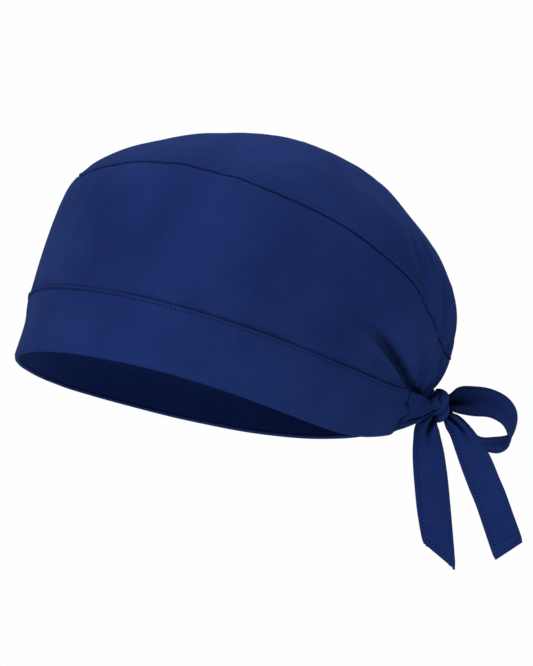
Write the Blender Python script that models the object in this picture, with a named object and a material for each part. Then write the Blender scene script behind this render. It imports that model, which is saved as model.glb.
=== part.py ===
"""Scrub cap with a turned-up band, gathered back and a half bow, worn tilted back.

The cap is set out in a level frame: x to the wearer's left, y from front to back, z up,
angles measured round the head from the front (0) over the side (90) to the back (180).
The finished cap is then leaned back by the worn tilt. Every table holds shares of the
named sizes below, and its columns are named beside it.
"""

import math

import bpy
import numpy as np

CAP_LENGTH = 0.220
HALF_WIDTH = 0.0815
CAP_HEIGHT = 0.1346
CENTRE_SHARE = 0.486
WORN_TILT = 15.0
CLEARANCE = 0.0004
FOLD_DEPTH = 0.0010
PANEL_WALL = 0.0015
BAND_WALL = 0.0020
BAND_PROUD = 0.0005
SEAM_LIFT = 0.0004
TIE_WALL = 0.0014
TIE_PROUD = 0.5 * PANEL_WALL + 2.0 * CLEARANCE + 0.5 * TIE_WALL
TIE_WIDTH = 0.0160
BOW_TURN = 67.0
KNOT_OUT = 0.325 * TIE_WIDTH
KNOT_DEEP = 0.375 * TIE_WIDTH
KNOT_TALL = 0.556 * TIE_WIDTH
KNOT_BACK = 0.206 * TIE_WIDTH
CLOTH_COLOUR = (0.013, 0.026, 0.105, 1.0)
CLOTH_ROUGHNESS = 0.85

BAND_END = 150.4
STRAP_END = 170.2
BAND_TOP = 2.0
APEX = 7.0
CROWN_RING = 6.72

SECTION_COLUMNS = (
    "height", "half_width", "front", "back", "centre",
    "front_power", "back_power", "blunt", "back_lift", "side_dip",
)
SECTIONS = (
    (0.000, 0.902, 0.249, 0.698, 0.266, 1.06, 3.05, 0.061, 0.187, 0.006),
    (0.125, 0.935, 0.261, 0.705, 0.281, 1.04, 2.68, 0.061, 0.134, 0.014),
    (0.241, 0.940, 0.269, 0.689, 0.284, 1.02, 2.34, 0.061, 0.052, 0.019),
    (0.516, 0.984, 0.285, 0.690, 0.309, 1.03, 1.61, 0.043, 0.026, 0.013),
    (0.708, 0.926, 0.276, 0.590, 0.335, 0.99, 1.19, 0.006, 0.020, 0.005),
    (0.858, 0.685, 0.219, 0.431, 0.395, 0.98, 1.07, 0.000, -0.007, -0.002),
    (0.972, 0.383, 0.121, 0.231, 0.470, 0.99, 1.04, 0.000, -0.014, -0.008),
    (0.993, 0.000, 0.000, 0.000, 0.511, 1.00, 1.00, 0.000, -0.012, -0.010),
)
MIRRORED = ("half_width", "front", "back", "blunt")

SEAM_COLUMNS = ("angle", "row")
CROWN_SEAM = (
    (0.0, 3.72), (12.0, 3.86), (30.0, 3.98), (60.0, 4.02), (90.0, 3.94), (105.0, 3.83),
    (120.0, 3.56), (131.0, 3.30), (140.0, 3.00), (148.0, 2.80), (157.0, 2.70),
    (168.0, 2.63), (180.0, 2.60),
)
SIDE_EDGE = (
    (0.0, 2.00), (60.0, 2.00), (110.0, 2.00), (135.0, 2.00), (146.0, 2.00), (149.6, 2.00),
    (151.0, 1.995), (153.5, 1.40), (160.0, 1.20), (166.0, 1.22), (169.0, 1.36), (172.0, 1.72),
    (175.0, 2.02), (180.0, 2.15),
)
STRAP_TOP = ((150.0, 2.00), (158.0, 1.97), (163.0, 1.88), (171.0, 1.62))
STRAP_FOOT = ((150.0, 0.05), (156.0, 0.15), (162.0, 0.33), (171.0, 0.62))

FOLD_COLUMNS = ("angle_low", "row_low", "angle_high", "row_high", "width", "depth")
FOLDS = (
    (150.0, 1.98, 127.0, 2.52, 5.0, -2.2),
    (155.0, 2.02, 140.0, 2.72, 4.0, -1.0),
    (159.5, 1.98, 145.0, 2.86, 3.2, 1.6),
    (164.5, 2.00, 158.5, 2.72, 2.2, 1.0),
    (131.0, 2.30, 98.0, 3.40, 9.0, -1.4),
    (133.0, 3.20, 122.0, 4.90, 4.5, 1.2),
    (137.5, 3.00, 131.0, 4.60, 3.5, -1.2),
    (145.0, 2.80, 139.5, 5.00, 3.5, 1.4),
    (150.0, 2.70, 144.5, 4.50, 3.0, -1.3),
    (155.5, 2.70, 148.0, 4.40, 3.2, 1.3),
    (162.0, 2.60, 156.0, 4.20, 3.0, -1.0),
)

EDGE_COLUMNS = ("a_out", "a_up", "a_away", "b_out", "b_up", "b_away", "cup")
TAIL_LEFT = (
    (-0.34, -0.30, -0.08, -0.03, -0.60, -0.10, 0.10),
    (-0.60, -0.43, -0.12, 0.04, -0.78, -0.12, 0.16),
    (-0.74, -0.71, -0.12, 0.09, -1.01, -0.14, 0.10),
    (-0.78, -1.09, -0.12, 0.16, -1.31, -0.16, 0.05),
    (-0.80, -1.56, -0.13, 0.23, -1.72, -0.18, 0.03),
    (-0.77, -2.23, -0.15, 0.31, -2.36, -0.20, 0.03),
    (-0.65, -3.33, -0.19, 0.44, -3.59, -0.24, 0.03),
    (-0.48, -4.27, -0.22, 0.56, -5.13, -0.30, 0.02),
)
TAIL_RIGHT = (
    (0.20, -0.53, 0.02, 0.38, -0.22, 0.10, 0.04),
    (0.26, -0.72, -0.02, 0.72, -0.34, 0.10, 0.14),
    (0.38, -0.96, -0.06, 1.12, -0.75, 0.10, 0.12),
    (0.55, -1.46, -0.08, 1.43, -1.18, 0.08, 0.07),
    (0.76, -2.06, -0.10, 1.69, -1.65, 0.05, 0.03),
    (0.98, -2.65, -0.12, 1.94, -2.26, 0.02, 0.02),
    (1.19, -3.19, -0.14, 2.14, -2.74, 0.00, 0.02),
    (1.46, -3.98, -0.17, 2.41, -3.52, -0.04, 0.02),
    (1.76, -4.89, -0.20, 2.68, -4.30, -0.07, 0.01),
)
BOW_LOOP = (
    (0.38, -0.17, 0.00, 0.37, 0.34, 0.00, -0.05),
    (0.68, -0.28, -0.04, 0.68, 0.58, -0.04, -0.05),
    (1.11, -0.36, -0.07, 1.11, 0.61, -0.09, -0.02),
    (1.58, -0.39, -0.07, 1.70, 0.53, 0.02, 0.00),
    (1.92, -0.52, 0.00, 2.24, 0.27, 0.32, 0.00),
    (2.14, -0.70, 0.22, 2.58, -0.14, 0.75, 0.00),
    (2.26, -1.01, 0.50, 2.62, -0.58, 1.32, 0.00),
    (2.20, -1.35, 0.64, 2.37, -0.88, 1.50, 0.00),
    (1.90, -1.48, 0.64, 1.93, -0.99, 1.50, 0.00),
    (1.46, -1.37, 0.52, 1.46, -0.98, 1.38, 0.02),
    (0.98, -1.02, 0.28, 0.98, -0.62, 1.08, 0.04),
    (0.57, -0.60, 0.14, 0.57, -0.26, 0.68, 0.05),
    (0.40, -0.36, 0.11, 0.40, -0.05, 0.40, 0.05),
)

COARSE_ANGLES = (0.0, 9.0, 18.0, 27.0, 36.0, 45.0, 54.0, 63.0, 72.0, 81.0, 90.0, 98.0, 106.0)
FINE_ANGLES = (
    112.0, 117.0, 121.0, 125.0, 128.0, 131.0, 134.0, 137.0, 140.0, 143.0, 146.0, 149.0,
    151.0, 152.2, 153.5, 155.5, 158.0, 161.0, 164.0, 167.0, 170.0, 173.0, 176.0, 178.5,
)


def smooth(xs, ys, where):
    """Cubic curve through the points (xs, ys), level beyond both ends."""
    xs = np.asarray(xs, float)
    ys = np.asarray(ys, float)
    where = np.clip(np.asarray(where, float), xs[0], xs[-1])
    step = np.diff(xs)
    rise = np.diff(ys, axis=0) / (step if ys.ndim == 1 else step[:, None])
    slope = np.empty_like(ys)
    slope[1:-1] = 0.5 * (rise[1:] + rise[:-1])
    slope[0] = rise[0]
    slope[-1] = rise[-1]
    index = np.clip(np.searchsorted(xs, where, side="right") - 1, 0, len(xs) - 2)
    length = step[index]
    u = (where - xs[index]) / length
    if ys.ndim > 1:
        length = length[..., None]
        u = u[..., None]
    first = (2 * u ** 3 - 3 * u ** 2 + 1) * ys[index]
    first = first + (u ** 3 - 2 * u ** 2 + u) * length * slope[index]
    second = (3 * u ** 2 - 2 * u ** 3) * ys[index + 1]
    return first + second + (u ** 3 - u ** 2) * length * slope[index + 1]


def along(pairs, angle):
    """Value of a two-column table at an angle on either side of the head."""
    xs, ys = zip(*pairs)
    return smooth(xs, ys, np.abs(angle))


def section(row):
    """Every column of the section table at a height row between rim 0 and apex 7."""
    values = np.array(SECTIONS)
    mirror = np.array([-1.0 if name in MIRRORED else 1.0 for name in SECTION_COLUMNS])
    values = np.vstack([2 * values[0] - values[1], values, values[-2] * mirror])
    row = np.asarray(row, float)
    index = np.clip(np.floor(row).astype(int), 0, len(SECTIONS) - 2)
    u = (row - index)[..., None]
    p0, p1, p2, p3 = (values[index + k] for k in range(4))
    mixed = 2 * p1 + (p2 - p0) * u
    mixed = mixed + (2 * p0 - 5 * p1 + 4 * p2 - p3) * u ** 2
    mixed = mixed + (3 * p1 - p0 - 3 * p2 + p3) * u ** 3
    return {name: 0.5 * mixed[..., k] for k, name in enumerate(SECTION_COLUMNS)}


def smooth_body(angle, row):
    """Point of the unfolded cap surface in the level frame."""
    angle, row = np.broadcast_arrays(np.asarray(angle, float), np.asarray(row, float))
    part = section(row)
    turn = np.radians(angle)
    across = np.abs(np.sin(turn))
    ahead = np.cos(turn)
    wide = HALF_WIDTH * part["half_width"]
    blunt = HALF_WIDTH * part["blunt"]
    rear = (wide - blunt) * across ** part["back_power"] + blunt * across ** 0.5
    x = np.sign(np.sin(turn)) * np.where(ahead > 0, wide * across ** part["front_power"], rear)
    reach = np.where(ahead > 0, part["front"], part["back"])
    y = CAP_LENGTH * (part["centre"] - reach * ahead - CENTRE_SHARE)
    rearward = np.clip(-ahead, 0, 1)
    lift = part["back_lift"] * rearward ** 5 - part["side_dip"] * across ** 2
    z = CAP_HEIGHT * (part["height"] + lift)
    return np.stack([x, y, z], -1)


def outward(shape, angle, row):
    """Outward direction of a surface function at angle and row."""
    wide = shape(angle + 0.3, row) - shape(angle - 0.3, row)
    tall = shape(angle, row + 0.01) - shape(angle, row - 0.01)
    normal = np.cross(wide, tall)
    return normal / np.maximum(np.linalg.norm(normal, axis=-1), 1e-12)[..., None]


def fold_height(angle, row):
    """Height of the gathers over the smooth surface, the same on both sides."""
    total = np.zeros(np.broadcast(angle, row).shape)
    for line in FOLDS:
        fold = dict(zip(FOLD_COLUMNS, line))
        share = (row - fold["row_low"]) / (fold["row_high"] - fold["row_low"])
        centre = fold["angle_low"] + (fold["angle_high"] - fold["angle_low"]) * share
        ends = np.sin(math.pi * np.clip(0.12 + 0.88 * share, 0, 1)) ** 0.7
        across = (np.abs(angle) - centre) / fold["width"]
        total = total + fold["depth"] * ends * np.exp(-across ** 2)
    return FOLD_DEPTH * total


def body(angle, row):
    """Point of the gathered cap surface in the level frame."""
    angle, row = np.broadcast_arrays(np.asarray(angle, float), np.asarray(row, float))
    height = fold_height(angle, row)[..., None]
    return smooth_body(angle, row) + height * outward(smooth_body, angle, row)


def lean(points):
    """Lean level points back by the worn tilt, the front rising."""
    tilt = math.radians(WORN_TILT)
    y = points[..., 1] * math.cos(tilt) + points[..., 2] * math.sin(tilt)
    z = points[..., 2] * math.cos(tilt) - points[..., 1] * math.sin(tilt)
    return np.stack([points[..., 0], y, z], -1)


def gap_rows(angle, row):
    """Rows that step half the clearance away from a slanting edge."""
    low = angle - 0.5
    high = angle + 0.5
    edge = smooth_body(high, np.interp(high, angle, row)) - smooth_body(low, np.interp(low, angle, row))
    edge = edge / np.maximum(np.linalg.norm(edge, axis=-1), 1e-9)[..., None]
    climb = (smooth_body(angle, row + 0.02) - smooth_body(angle, row - 0.02)) / 0.04
    climb = climb - (climb * edge).sum(-1)[..., None] * edge
    return 0.5 * CLEARANCE / np.linalg.norm(climb, axis=-1)


def ring_angles():
    """Columns of a full ring, finer where the cloth gathers."""
    half = list(COARSE_ANGLES[1:]) + list(FINE_ANGLES)
    return np.array([-a for a in reversed(half)] + [0.0] + half + [180.0])


def span_angles(first, last):
    """Columns strictly between two angles, with both ends added."""
    inside = [a for a in ring_angles() if first + 1.0 < a < last - 1.0]
    return np.array([first] + inside + [last])


def sheet_faces(columns, rows, start, flip, ring):
    """Quads of a grid stored row after row."""
    faces = []
    for j in range(rows - 1):
        for i in range(columns if ring else columns - 1):
            k = (i + 1) % columns
            quad = [start + j * columns + i, start + j * columns + k]
            quad += [start + (j + 1) * columns + k, start + (j + 1) * columns + i]
            faces.append(quad[::-1] if flip else quad)
    return faces


def wall_solid(outer, inner, ring, outer_tip=None, inner_tip=None):
    """Closed wall between two grids, with an optional tip on both."""
    rows, columns = outer.shape[:2]
    points = [tuple(p) for p in outer.reshape(-1, 3)] + [tuple(p) for p in inner.reshape(-1, 3)]
    shift = rows * columns
    faces = sheet_faces(columns, rows, 0, False, ring)
    faces += sheet_faces(columns, rows, shift, True, ring)
    steps = range(columns if ring else columns - 1)
    top = (rows - 1) * columns
    for i in steps:
        k = (i + 1) % columns
        faces.append([k, i, shift + i, shift + k])
        if outer_tip is None:
            faces.append([top + i, top + k, shift + top + k, shift + top + i])
    if not ring:
        for j in range(rows - 1):
            a = j * columns
            b = (j + 1) * columns
            faces.append([a, b, shift + b, shift + a])
            c = a + columns - 1
            d = b + columns - 1
            faces.append([d, c, shift + c, shift + d])
    if outer_tip is not None:
        tip = len(points)
        points += [tuple(outer_tip), tuple(inner_tip)]
        for i in steps:
            k = (i + 1) % columns
            faces.append([top + i, top + k, tip])
            faces.append([shift + top + k, shift + top + i, tip + 1])
    return points, faces


def wall_grid(angles, low, high, rows, offset, raise_edge=0.0):
    """Grid of points between two edge rows, moved out by an offset."""
    share = np.linspace(0.0, 1.0, rows)[:, None]
    row = low[None, :] + (high - low)[None, :] * share
    angle = np.broadcast_to(angles, row.shape)
    out = outward(body, angle, row)
    lift = offset + raise_edge * np.clip(1 - share * (rows - 1), 0, 1)
    return lean(body(angle, row) + out * np.asarray(lift)[..., None])


def material():
    """Cloth material with constant values, one for each piece."""
    made = bpy.data.materials.new("cloth")
    made.use_nodes = True
    shader = made.node_tree.nodes["Principled BSDF"]
    shader.inputs["Base Color"].default_value = CLOTH_COLOUR
    shader.inputs["Roughness"].default_value = CLOTH_ROUGHNESS
    return made


def add_piece(name, points, faces):
    """Add one named solid with its own material."""
    mesh = bpy.data.meshes.new(name)
    mesh.from_pydata([tuple(float(v) for v in p) for p in points], [], faces)
    mesh.update()
    piece = bpy.data.objects.new(name, mesh)
    piece.data.materials.append(material())
    bpy.context.scene.collection.objects.link(piece)
    return piece


def crown_panel():
    """Long oval crown from the seam to the top, falling to the knot behind."""
    angles = ring_angles()
    seam = along(CROWN_SEAM, angles)
    low = seam + gap_rows(angles, seam)
    high = np.full_like(angles, CROWN_RING)
    outer = wall_grid(angles, low, high, 13, PANEL_WALL / 2, SEAM_LIFT)
    inner = wall_grid(angles, low, high, 13, -PANEL_WALL / 2, SEAM_LIFT)
    tip = smooth_body(np.array(0.0), np.array(APEX))
    upward = np.array([0.0, 0.0, PANEL_WALL / 2])
    return wall_solid(outer, inner, True, lean(tip + upward), lean(tip - upward))


def side_panel():
    """Side wall from the band to the crown seam, gathered at the back."""
    angles = ring_angles()
    seam = along(CROWN_SEAM, angles)
    edge = along(SIDE_EDGE, angles)
    low = edge + gap_rows(angles, edge)
    high = seam - gap_rows(angles, seam)
    outer = wall_grid(angles, low, high, 9, PANEL_WALL / 2)
    inner = wall_grid(angles, low, high, 9, -PANEL_WALL / 2)
    return wall_solid(outer, inner, True)


def band():
    """Turned-up band round the head, open behind between the ties."""
    angles = span_angles(-BAND_END, BAND_END)
    top = np.full_like(angles, BAND_TOP)
    high = top - gap_rows(angles, top)
    low = np.zeros_like(angles)
    outer = wall_grid(angles, low, high, 5, BAND_PROUD + BAND_WALL / 2)
    inner = wall_grid(angles, low, high, 5, BAND_PROUD - BAND_WALL / 2)
    return wall_solid(outer, inner, False)


def tie(side):
    """Strap that narrows from the band's end to the knot, side 1 left and -1 right."""
    reach = CAP_LENGTH * 0.7
    start = BAND_END + math.degrees(1.6 * CLEARANCE / (reach * math.sin(math.radians(BAND_END))))
    angles = np.linspace(start, STRAP_END, 13)
    foot = along(STRAP_FOOT, angles)
    top = along(STRAP_TOP, angles)
    gap = gap_rows(angles, top)
    angles = angles * side
    if side < 0:
        angles = angles[::-1]
        foot = foot[::-1]
        top = top[::-1]
        gap = gap[::-1]
    outer = wall_grid(angles, foot, top - gap, 6, TIE_PROUD + TIE_WALL / 2)
    inner = wall_grid(angles, foot, top - gap, 6, TIE_PROUD - TIE_WALL / 2)
    return wall_solid(outer, inner, False)


def bow_frame():
    """Knot centre and the bow's out, up and away directions after leaning."""
    end = smooth_body(np.array(180.0), np.array(1.0))
    turn = math.radians(BOW_TURN)
    centre = lean(end) + np.array([0.0, KNOT_BACK, -KNOT_TALL * 0.06])
    out = np.array([math.cos(turn), math.sin(turn), 0.0])
    away = np.array([-math.sin(turn), math.cos(turn), 0.0])
    return centre, out, np.array([0.0, 0.0, 1.0]), away


def knot():
    """Wrapped knot: a tall lump with two slanting turns of cloth."""
    centre, out, up, away = bow_frame()
    columns = 20
    rows = 13
    points = [tuple(centre - up * KNOT_TALL)]
    for j in range(1, rows):
        low = math.pi * j / rows
        for i in range(columns):
            turn = 2 * math.pi * i / columns
            u = math.sin(low) * math.cos(turn)
            w = math.sin(low) * math.sin(turn)
            v = -math.cos(low)
            slant = v + 0.8 * u
            grooves = math.exp(-((slant - 0.42) / 0.16) ** 2) + math.exp(-((slant + 0.5) / 0.16) ** 2)
            size = 1 - 0.09 * grooves
            spot = out * (u * KNOT_OUT) + away * (w * KNOT_DEEP) + up * (v * KNOT_TALL)
            points.append(tuple(centre + spot * size))
    points.append(tuple(centre + up * KNOT_TALL))
    faces = []
    for i in range(columns):
        k = (i + 1) % columns
        faces.append([0, 1 + k, 1 + i])
        last = 1 + (rows - 2) * columns
        faces.append([last + i, last + k, len(points) - 1])
        for j in range(rows - 2):
            a = 1 + j * columns
            b = a + columns
            faces.append([a + i, a + k, b + k, b + i])
    return points, faces


def ribbon(table, steps, rows=5):
    """Closed strap between two edge curves given as shares of the tie width."""
    centre, out, up, away = bow_frame()
    values = np.array(table)
    where = np.linspace(0, len(values) - 1, steps)
    values = smooth(np.arange(len(values)), values, where)
    share = np.linspace(0, 1, rows)[:, None, None]
    low = values[None, :, 0:3] * (1 - share)
    local = (low + values[None, :, 3:6] * share) * TIE_WIDTH
    middle = centre + local[..., 0:1] * out + local[..., 1:2] * up + local[..., 2:3] * away
    length = np.gradient(middle, axis=1)
    width = np.gradient(middle, axis=0)
    normal = np.cross(length, width)
    normal = normal / np.linalg.norm(normal, axis=-1)[..., None]
    cup = values[None, :, 6:7] * TIE_WIDTH * 4 * share * (1 - share)
    middle = middle + normal * cup
    length = np.gradient(middle, axis=1)
    width = np.gradient(middle, axis=0)
    normal = np.cross(length, width)
    normal = normal / np.linalg.norm(normal, axis=-1)[..., None]
    outer = middle + normal * TIE_WALL / 2
    inner = middle - normal * TIE_WALL / 2
    return wall_solid(outer, inner, False)


def main():
    for piece in list(bpy.data.objects):
        bpy.data.objects.remove(piece, do_unlink=True)
    add_piece("crown_panel", *crown_panel())
    add_piece("side_panel", *side_panel())
    add_piece("band", *band())
    add_piece("tie_left", *tie(1))
    add_piece("tie_right", *tie(-1))
    add_piece("knot", *knot())
    add_piece("bow_loop", *ribbon(BOW_LOOP, 40))
    add_piece("tail_left", *ribbon(TAIL_LEFT, 20))
    add_piece("tail_right", *ribbon(TAIL_RIGHT, 22))


main()
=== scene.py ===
# %% [markdown]
# A scrub cap in navy cloth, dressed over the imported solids. The real cap has a long oval crown, a
# gathered side wall, a broad band and a half bow behind. Each cell makes one piece or one finish,
# and the cells run from top to bottom.

# %% Setup
import math
import bmesh
import bpy
import numpy as np
from mathutils import Matrix, Vector


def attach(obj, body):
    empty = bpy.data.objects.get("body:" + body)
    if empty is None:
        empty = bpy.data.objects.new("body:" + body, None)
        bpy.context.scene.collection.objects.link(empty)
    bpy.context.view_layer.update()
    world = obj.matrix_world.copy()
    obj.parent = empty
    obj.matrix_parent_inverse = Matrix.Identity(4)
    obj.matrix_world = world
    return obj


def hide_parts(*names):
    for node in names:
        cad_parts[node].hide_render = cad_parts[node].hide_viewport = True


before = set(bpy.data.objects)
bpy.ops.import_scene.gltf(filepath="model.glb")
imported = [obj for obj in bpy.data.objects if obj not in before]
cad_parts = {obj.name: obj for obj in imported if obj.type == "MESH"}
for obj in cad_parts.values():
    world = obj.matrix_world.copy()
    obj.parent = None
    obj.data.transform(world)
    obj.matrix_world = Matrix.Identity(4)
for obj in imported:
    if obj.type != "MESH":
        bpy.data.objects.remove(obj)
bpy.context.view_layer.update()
scene = bpy.context.scene

# %% [markdown]
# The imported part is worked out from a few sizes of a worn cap. The same sizes are named here, in
# metres and degrees, because the cloth has to land on the same surfaces as the solids.

# %% Sizes
# ROUND_STEP and END_STEP are the cloth in one degree round the head and at the band's end
CAP_LENGTH = 0.220
HALF_WIDTH = 0.0815
CAP_HEIGHT = 0.1346
CENTRE_SHARE = 0.486
WORN_TILT = 15.0
CLEARANCE = 0.0004
FOLD_DEPTH = 0.0010
PANEL_WALL = 0.0015
BAND_WALL = 0.0020
BAND_PROUD = 0.0005
TIE_WALL = 0.0014
TIE_PROUD = 0.5 * PANEL_WALL + 2.0 * CLEARANCE + 0.5 * TIE_WALL
TIE_WIDTH = 0.0160
BOW_TURN = 67.0
KNOT_OUT = 0.325 * TIE_WIDTH
KNOT_DEEP = 0.375 * TIE_WIDTH
KNOT_TALL = 0.556 * TIE_WIDTH
KNOT_BACK = 0.206 * TIE_WIDTH
BAND_END = 150.4
STRAP_END = 170.2
BAND_TOP = 2.0
MM = 0.001
ROUND_STEP = 1.35 * MM
END_STEP = 2.7 * MM
print("cap length and width in mm:", CAP_LENGTH / MM, 2 * HALF_WIDTH / MM)

# %% [markdown]
# A soft cap could be sculpted or simulated, but then it would follow no size. It is drawn as flat
# sections instead, like a hat block sliced level. A section row is a height on the cap, from the
# rim (0) to the top (7), and its columns are shares of the named sizes.

# %% Section table
SECTION_COLUMNS = (
    "height", "half_width", "front", "back", "centre",
    "front_power", "back_power", "blunt", "back_lift", "side_dip",
)
SECTIONS = (
    (0.000, 0.902, 0.249, 0.698, 0.266, 1.06, 3.05, 0.061, 0.187, 0.006),
    (0.125, 0.935, 0.261, 0.705, 0.281, 1.04, 2.68, 0.061, 0.134, 0.014),
    (0.241, 0.940, 0.269, 0.689, 0.284, 1.02, 2.34, 0.061, 0.052, 0.019),
    (0.516, 0.984, 0.285, 0.690, 0.309, 1.03, 1.61, 0.043, 0.026, 0.013),
    (0.708, 0.926, 0.276, 0.590, 0.335, 0.99, 1.19, 0.006, 0.020, 0.005),
    (0.858, 0.685, 0.219, 0.431, 0.395, 0.98, 1.07, 0.000, -0.007, -0.002),
    (0.972, 0.383, 0.121, 0.231, 0.470, 0.99, 1.04, 0.000, -0.014, -0.008),
    (0.993, 0.000, 0.000, 0.000, 0.511, 1.00, 1.00, 0.000, -0.012, -0.010),
)
MIRRORED = ("half_width", "front", "back", "blunt")
print("section rows:", len(SECTIONS))

# %% [markdown]
# The crown is sewn to the side wall along a seam that is high in front and low behind. The seam,
# the wall's lower edge and both edges of the straps are pairs of an angle round the head, from
# the front, and a section row. Pairs are easy to compare with the photo, and a curve joins them.

# %% Seam and edge tables
CROWN_SEAM = (
    (0, 3.72), (12, 3.86), (30, 3.98), (60, 4.02), (90, 3.94), (105, 3.83),
    (120, 3.56), (131, 3.30), (140, 3.00), (148, 2.80), (157, 2.70),
    (168, 2.63), (180, 2.60),
)
SIDE_EDGE = (
    (0, 2.00), (60, 2.00), (110, 2.00), (135, 2.00), (146, 2.00), (149.6, 2.00),
    (151, 1.995), (153.5, 1.40), (160, 1.20), (166, 1.22), (169, 1.36), (172, 1.72),
    (175, 2.02), (180, 2.15),
)
STRAP_TOP = ((150.0, 2.00), (158.0, 1.97), (163.0, 1.88), (171.0, 1.62))
STRAP_FOOT = ((150.0, 0.05), (156.0, 0.15), (162.0, 0.33), (171.0, 0.62))
print("seam row in front and behind:", CROWN_SEAM[0][1], CROWN_SEAM[-1][1])

# %% [markdown]
# The ties draw the cloth together, so it gathers into folds that fan out from the knot. Each row
# is one fold: the line that it follows, its width in degrees and its height, where a minus sign
# is a valley. A table is chosen over a cloth simulation because each fold can be set where the
# real one lies.

# %% Gather table
FOLD_COLUMNS = ("angle_low", "row_low", "angle_high", "row_high", "width", "depth")
FOLDS = (
    (150, 1.98, 127, 2.52, 5, -2.2),
    (155, 2.02, 140, 2.72, 4, -1),
    (159.5, 1.98, 145, 2.86, 3.2, 1.6),
    (164.5, 2.00, 158.5, 2.72, 2.2, 1),
    (131, 2.30, 98, 3.40, 9, -1.4),
    (133, 3.20, 122, 4.90, 4.5, 1.2),
    (137.5, 3.00, 131, 4.60, 3.5, -1.2),
    (145, 2.80, 139.5, 5.00, 3.5, 1.4),
    (150, 2.70, 144.5, 4.50, 3, -1.3),
    (155.5, 2.70, 148, 4.40, 3.2, 1.3),
    (162, 2.60, 156, 4.20, 3, -1),
)
print("gathers on each side:", len(FOLDS))

# %% [markdown]
# The loop and the two tails are flat straps. A bent ribbon could be a curve with a width, but a
# real strap twists and widens as it leaves the knot. So each row gives both edges of the strap as
# out, up and away from the knot, in tie widths, and last how far the middle cups.

# %% Strap tables
TAIL_LEFT = (
    (-0.34, -0.30, -0.08, -0.03, -0.60, -0.10, 0.10),
    (-0.60, -0.43, -0.12, 0.04, -0.78, -0.12, 0.16),
    (-0.74, -0.71, -0.12, 0.09, -1.01, -0.14, 0.10),
    (-0.78, -1.09, -0.12, 0.16, -1.31, -0.16, 0.05),
    (-0.80, -1.56, -0.13, 0.23, -1.72, -0.18, 0.03),
    (-0.77, -2.23, -0.15, 0.31, -2.36, -0.20, 0.03),
    (-0.67, -3.33, -0.19, 0.42, -3.62, -0.24, 0.03),
    (-0.51, -4.31, -0.22, 0.54, -5.20, -0.30, 0.02),
)
TAIL_RIGHT = (
    (0.20, -0.53, 0.02, 0.38, -0.22, 0.10, 0.04),
    (0.26, -0.72, -0.02, 0.72, -0.34, 0.10, 0.14),
    (0.38, -0.96, -0.06, 1.12, -0.75, 0.10, 0.12),
    (0.55, -1.46, -0.08, 1.43, -1.18, 0.08, 0.07),
    (0.76, -2.06, -0.10, 1.69, -1.65, 0.05, 0.03),
    (0.98, -2.65, -0.12, 1.94, -2.26, 0.02, 0.02),
    (1.19, -3.19, -0.14, 2.14, -2.74, 0.00, 0.02),
    (1.46, -3.98, -0.17, 2.41, -3.52, -0.04, 0.02),
    (1.76, -4.89, -0.20, 2.68, -4.30, -0.07, 0.01),
)
BOW_LOOP = (
    (0.38, -0.17, 0.00, 0.37, 0.34, 0.00, -0.05),
    (0.68, -0.28, -0.16, 0.68, 0.58, 0.08, -0.05),
    (1.11, -0.36, -0.28, 1.11, 0.61, 0.10, -0.02),
    (1.58, -0.39, -0.18, 1.70, 0.53, 0.10, 0.00),
    (1.92, -0.52, 0.00, 2.24, 0.27, 0.32, 0.00),
    (2.14, -0.70, 0.22, 2.58, -0.14, 0.75, 0.00),
    (2.32, -1.02, 0.50, 2.64, -0.58, 1.32, 0.00),
    (2.27, -1.33, 0.64, 2.47, -0.90, 1.50, 0.00),
    (1.95, -1.49, 0.64, 1.95, -0.99, 1.50, 0.00),
    (1.46, -1.37, 0.52, 1.46, -0.98, 1.38, 0.02),
    (0.98, -1.02, 0.28, 0.98, -0.62, 1.08, 0.04),
    (0.57, -0.60, 0.14, 0.57, -0.26, 0.68, 0.05),
    (0.40, -0.36, 0.11, 0.40, -0.05, 0.40, 0.05),
)
print("strap rows:", len(TAIL_LEFT), len(TAIL_RIGHT), len(BOW_LOOP))

# %% [markdown]
# Cloth has no corners between the points of a table. A cubic curve passes through every point and
# stays level past both ends.

# %% Smooth curves
def smooth(xs, ys, where):
    """Cubic curve through the points (xs, ys), level beyond both ends."""
    xs = np.asarray(xs, float)
    ys = np.asarray(ys, float)
    where = np.clip(np.asarray(where, float), xs[0], xs[-1])
    step = np.diff(xs)
    rise = np.diff(ys, axis=0) / (step if ys.ndim == 1 else step[:, None])
    slope = np.empty_like(ys)
    slope[1:-1] = 0.5 * (rise[1:] + rise[:-1])
    slope[0] = rise[0]
    slope[-1] = rise[-1]
    index = np.clip(np.searchsorted(xs, where, side="right") - 1, 0, len(xs) - 2)
    length = step[index]
    u = (where - xs[index]) / length
    if ys.ndim > 1:
        length = length[..., None]
        u = u[..., None]
    first = (2 * u ** 3 - 3 * u ** 2 + 1) * ys[index]
    first = first + (u ** 3 - 2 * u ** 2 + u) * length * slope[index]
    second = (3 * u ** 2 - 2 * u ** 3) * ys[index + 1]
    return first + second + (u ** 3 - u ** 2) * length * slope[index + 1]


def bell(distance, width):
    """Share that is one at distance zero and falls off over the width."""
    return np.exp(-(distance / width) ** 2)


def along(pairs, angle):
    """Value of a two-column table at an angle on either side of the head."""
    xs, ys = zip(*pairs)
    return smooth(xs, ys, np.abs(angle))

# %% [markdown]
# These functions turn an angle and a row into a point of the cap. The side-to-side lift fades
# near the top, so that all the angles meet in one smooth point there.

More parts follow.
